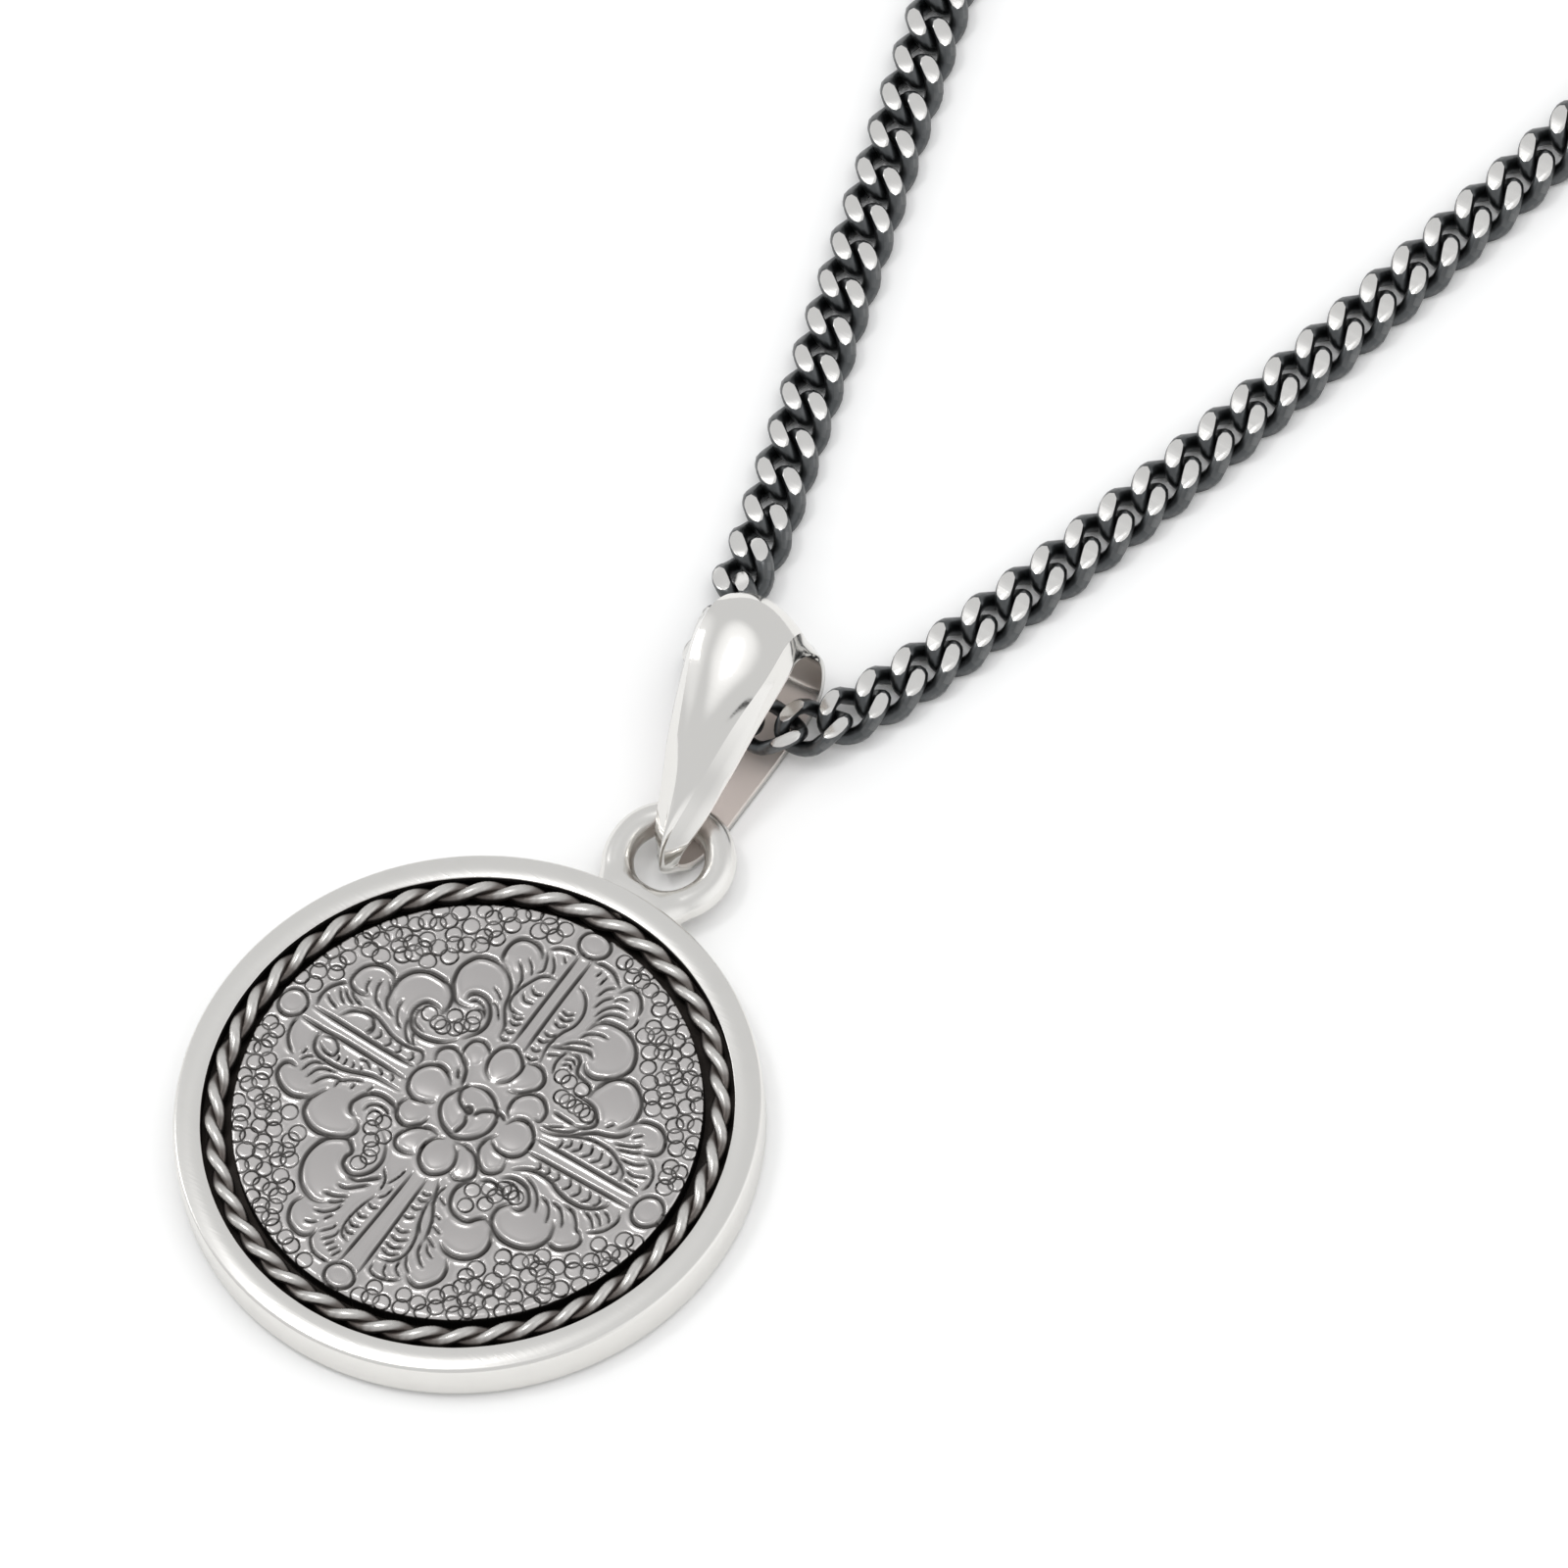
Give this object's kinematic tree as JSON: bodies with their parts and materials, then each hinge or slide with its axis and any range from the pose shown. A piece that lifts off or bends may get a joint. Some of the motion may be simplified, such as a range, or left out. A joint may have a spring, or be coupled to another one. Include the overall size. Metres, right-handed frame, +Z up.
{
  "type": "coin pendant necklace",
  "caption": "Round engraved coin in a polished rim with a twisted wire border, hung by a jump ring and a tapered bail from a closed curb chain.",
  "frame": {"origin": "centre of the bezel's flat back, on the surface on which the pendant lies", "axes": "+Y from the coin's centre along its upper bar towards the bail, +Z up from the surface through the coin's face, +X to the right when the coin is seen from above with the bail at the top"},
  "size_m": [0.0775, 0.2255, 0.0051],
  "materials": {
    "bezel_silver": "polished silver with fine scratches",
    "coin_silver": "satin silver, dark in the engraved lines",
    "rope_silver": "oxidised silver, rubbed bright on its crests",
    "bail_silver": "polished silver",
    "chain_silver": "oxidised silver with bright ground flats",
    "clasp_silver": "polished silver"
  },
  "bodies": {
    "root": {"bezel": "bezel_silver", "coin": "coin_silver", "rope_ring": "rope_silver", "bail": "bail_silver", "chain_front": "chain_silver", "chain_back": "chain_silver", "clasp": "clasp_silver"}
  },
  "joints": []
}
